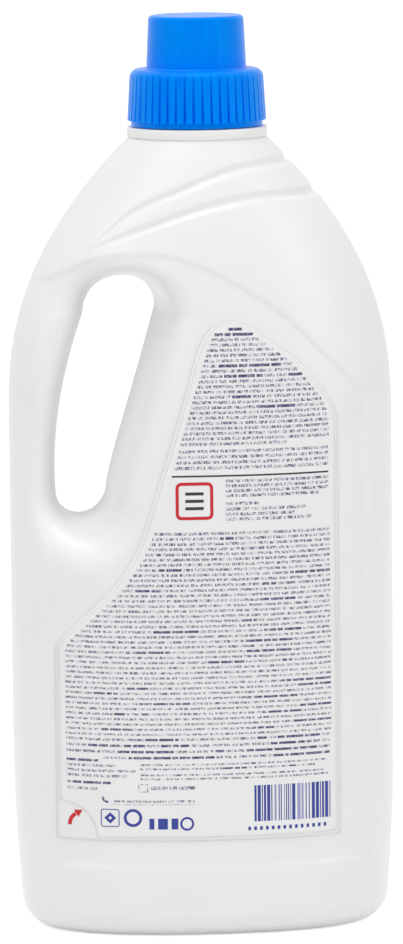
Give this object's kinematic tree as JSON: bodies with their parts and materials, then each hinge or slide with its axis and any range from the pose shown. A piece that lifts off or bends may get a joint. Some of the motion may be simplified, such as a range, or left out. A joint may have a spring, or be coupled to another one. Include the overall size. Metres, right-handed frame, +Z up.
{
  "type": "laundry detergent bottle",
  "caption": "Tall oval blown bottle with a through grip, a pouring spout in its neck, a ribbed screw cap that doubles as dosing cup, and a printed label.",
  "frame": {"origin": "on the floor, under the middle of the foot and the neck axis", "axes": "+Z up along the neck, +X from the grip to the plain side, -Y out of the labelled face"},
  "size_m": [0.1264, 0.0792, 0.3006],
  "materials": {
    "white_body": "white blow-moulded polyethylene with a soft satin sheen",
    "white_spout": "white moulded polyethylene",
    "blue_cap": "bright blue moulded polypropylene, glossy",
    "label_film": null
  },
  "bodies": {
    "bottle_with_spout": {"bottle": "white_body", "pouring_spout": "white_spout", "label_base": "label_film", "label_top_ply": "label_film"},
    "screw_cap": {"cap": "blue_cap"}
  },
  "joints": [
    {"name": "cap_lift", "type": "slide", "parent": "bottle_with_spout", "child": "screw_cap", "axis": [0, 0, 1], "range_m": [0, 0.05]}
  ]
}
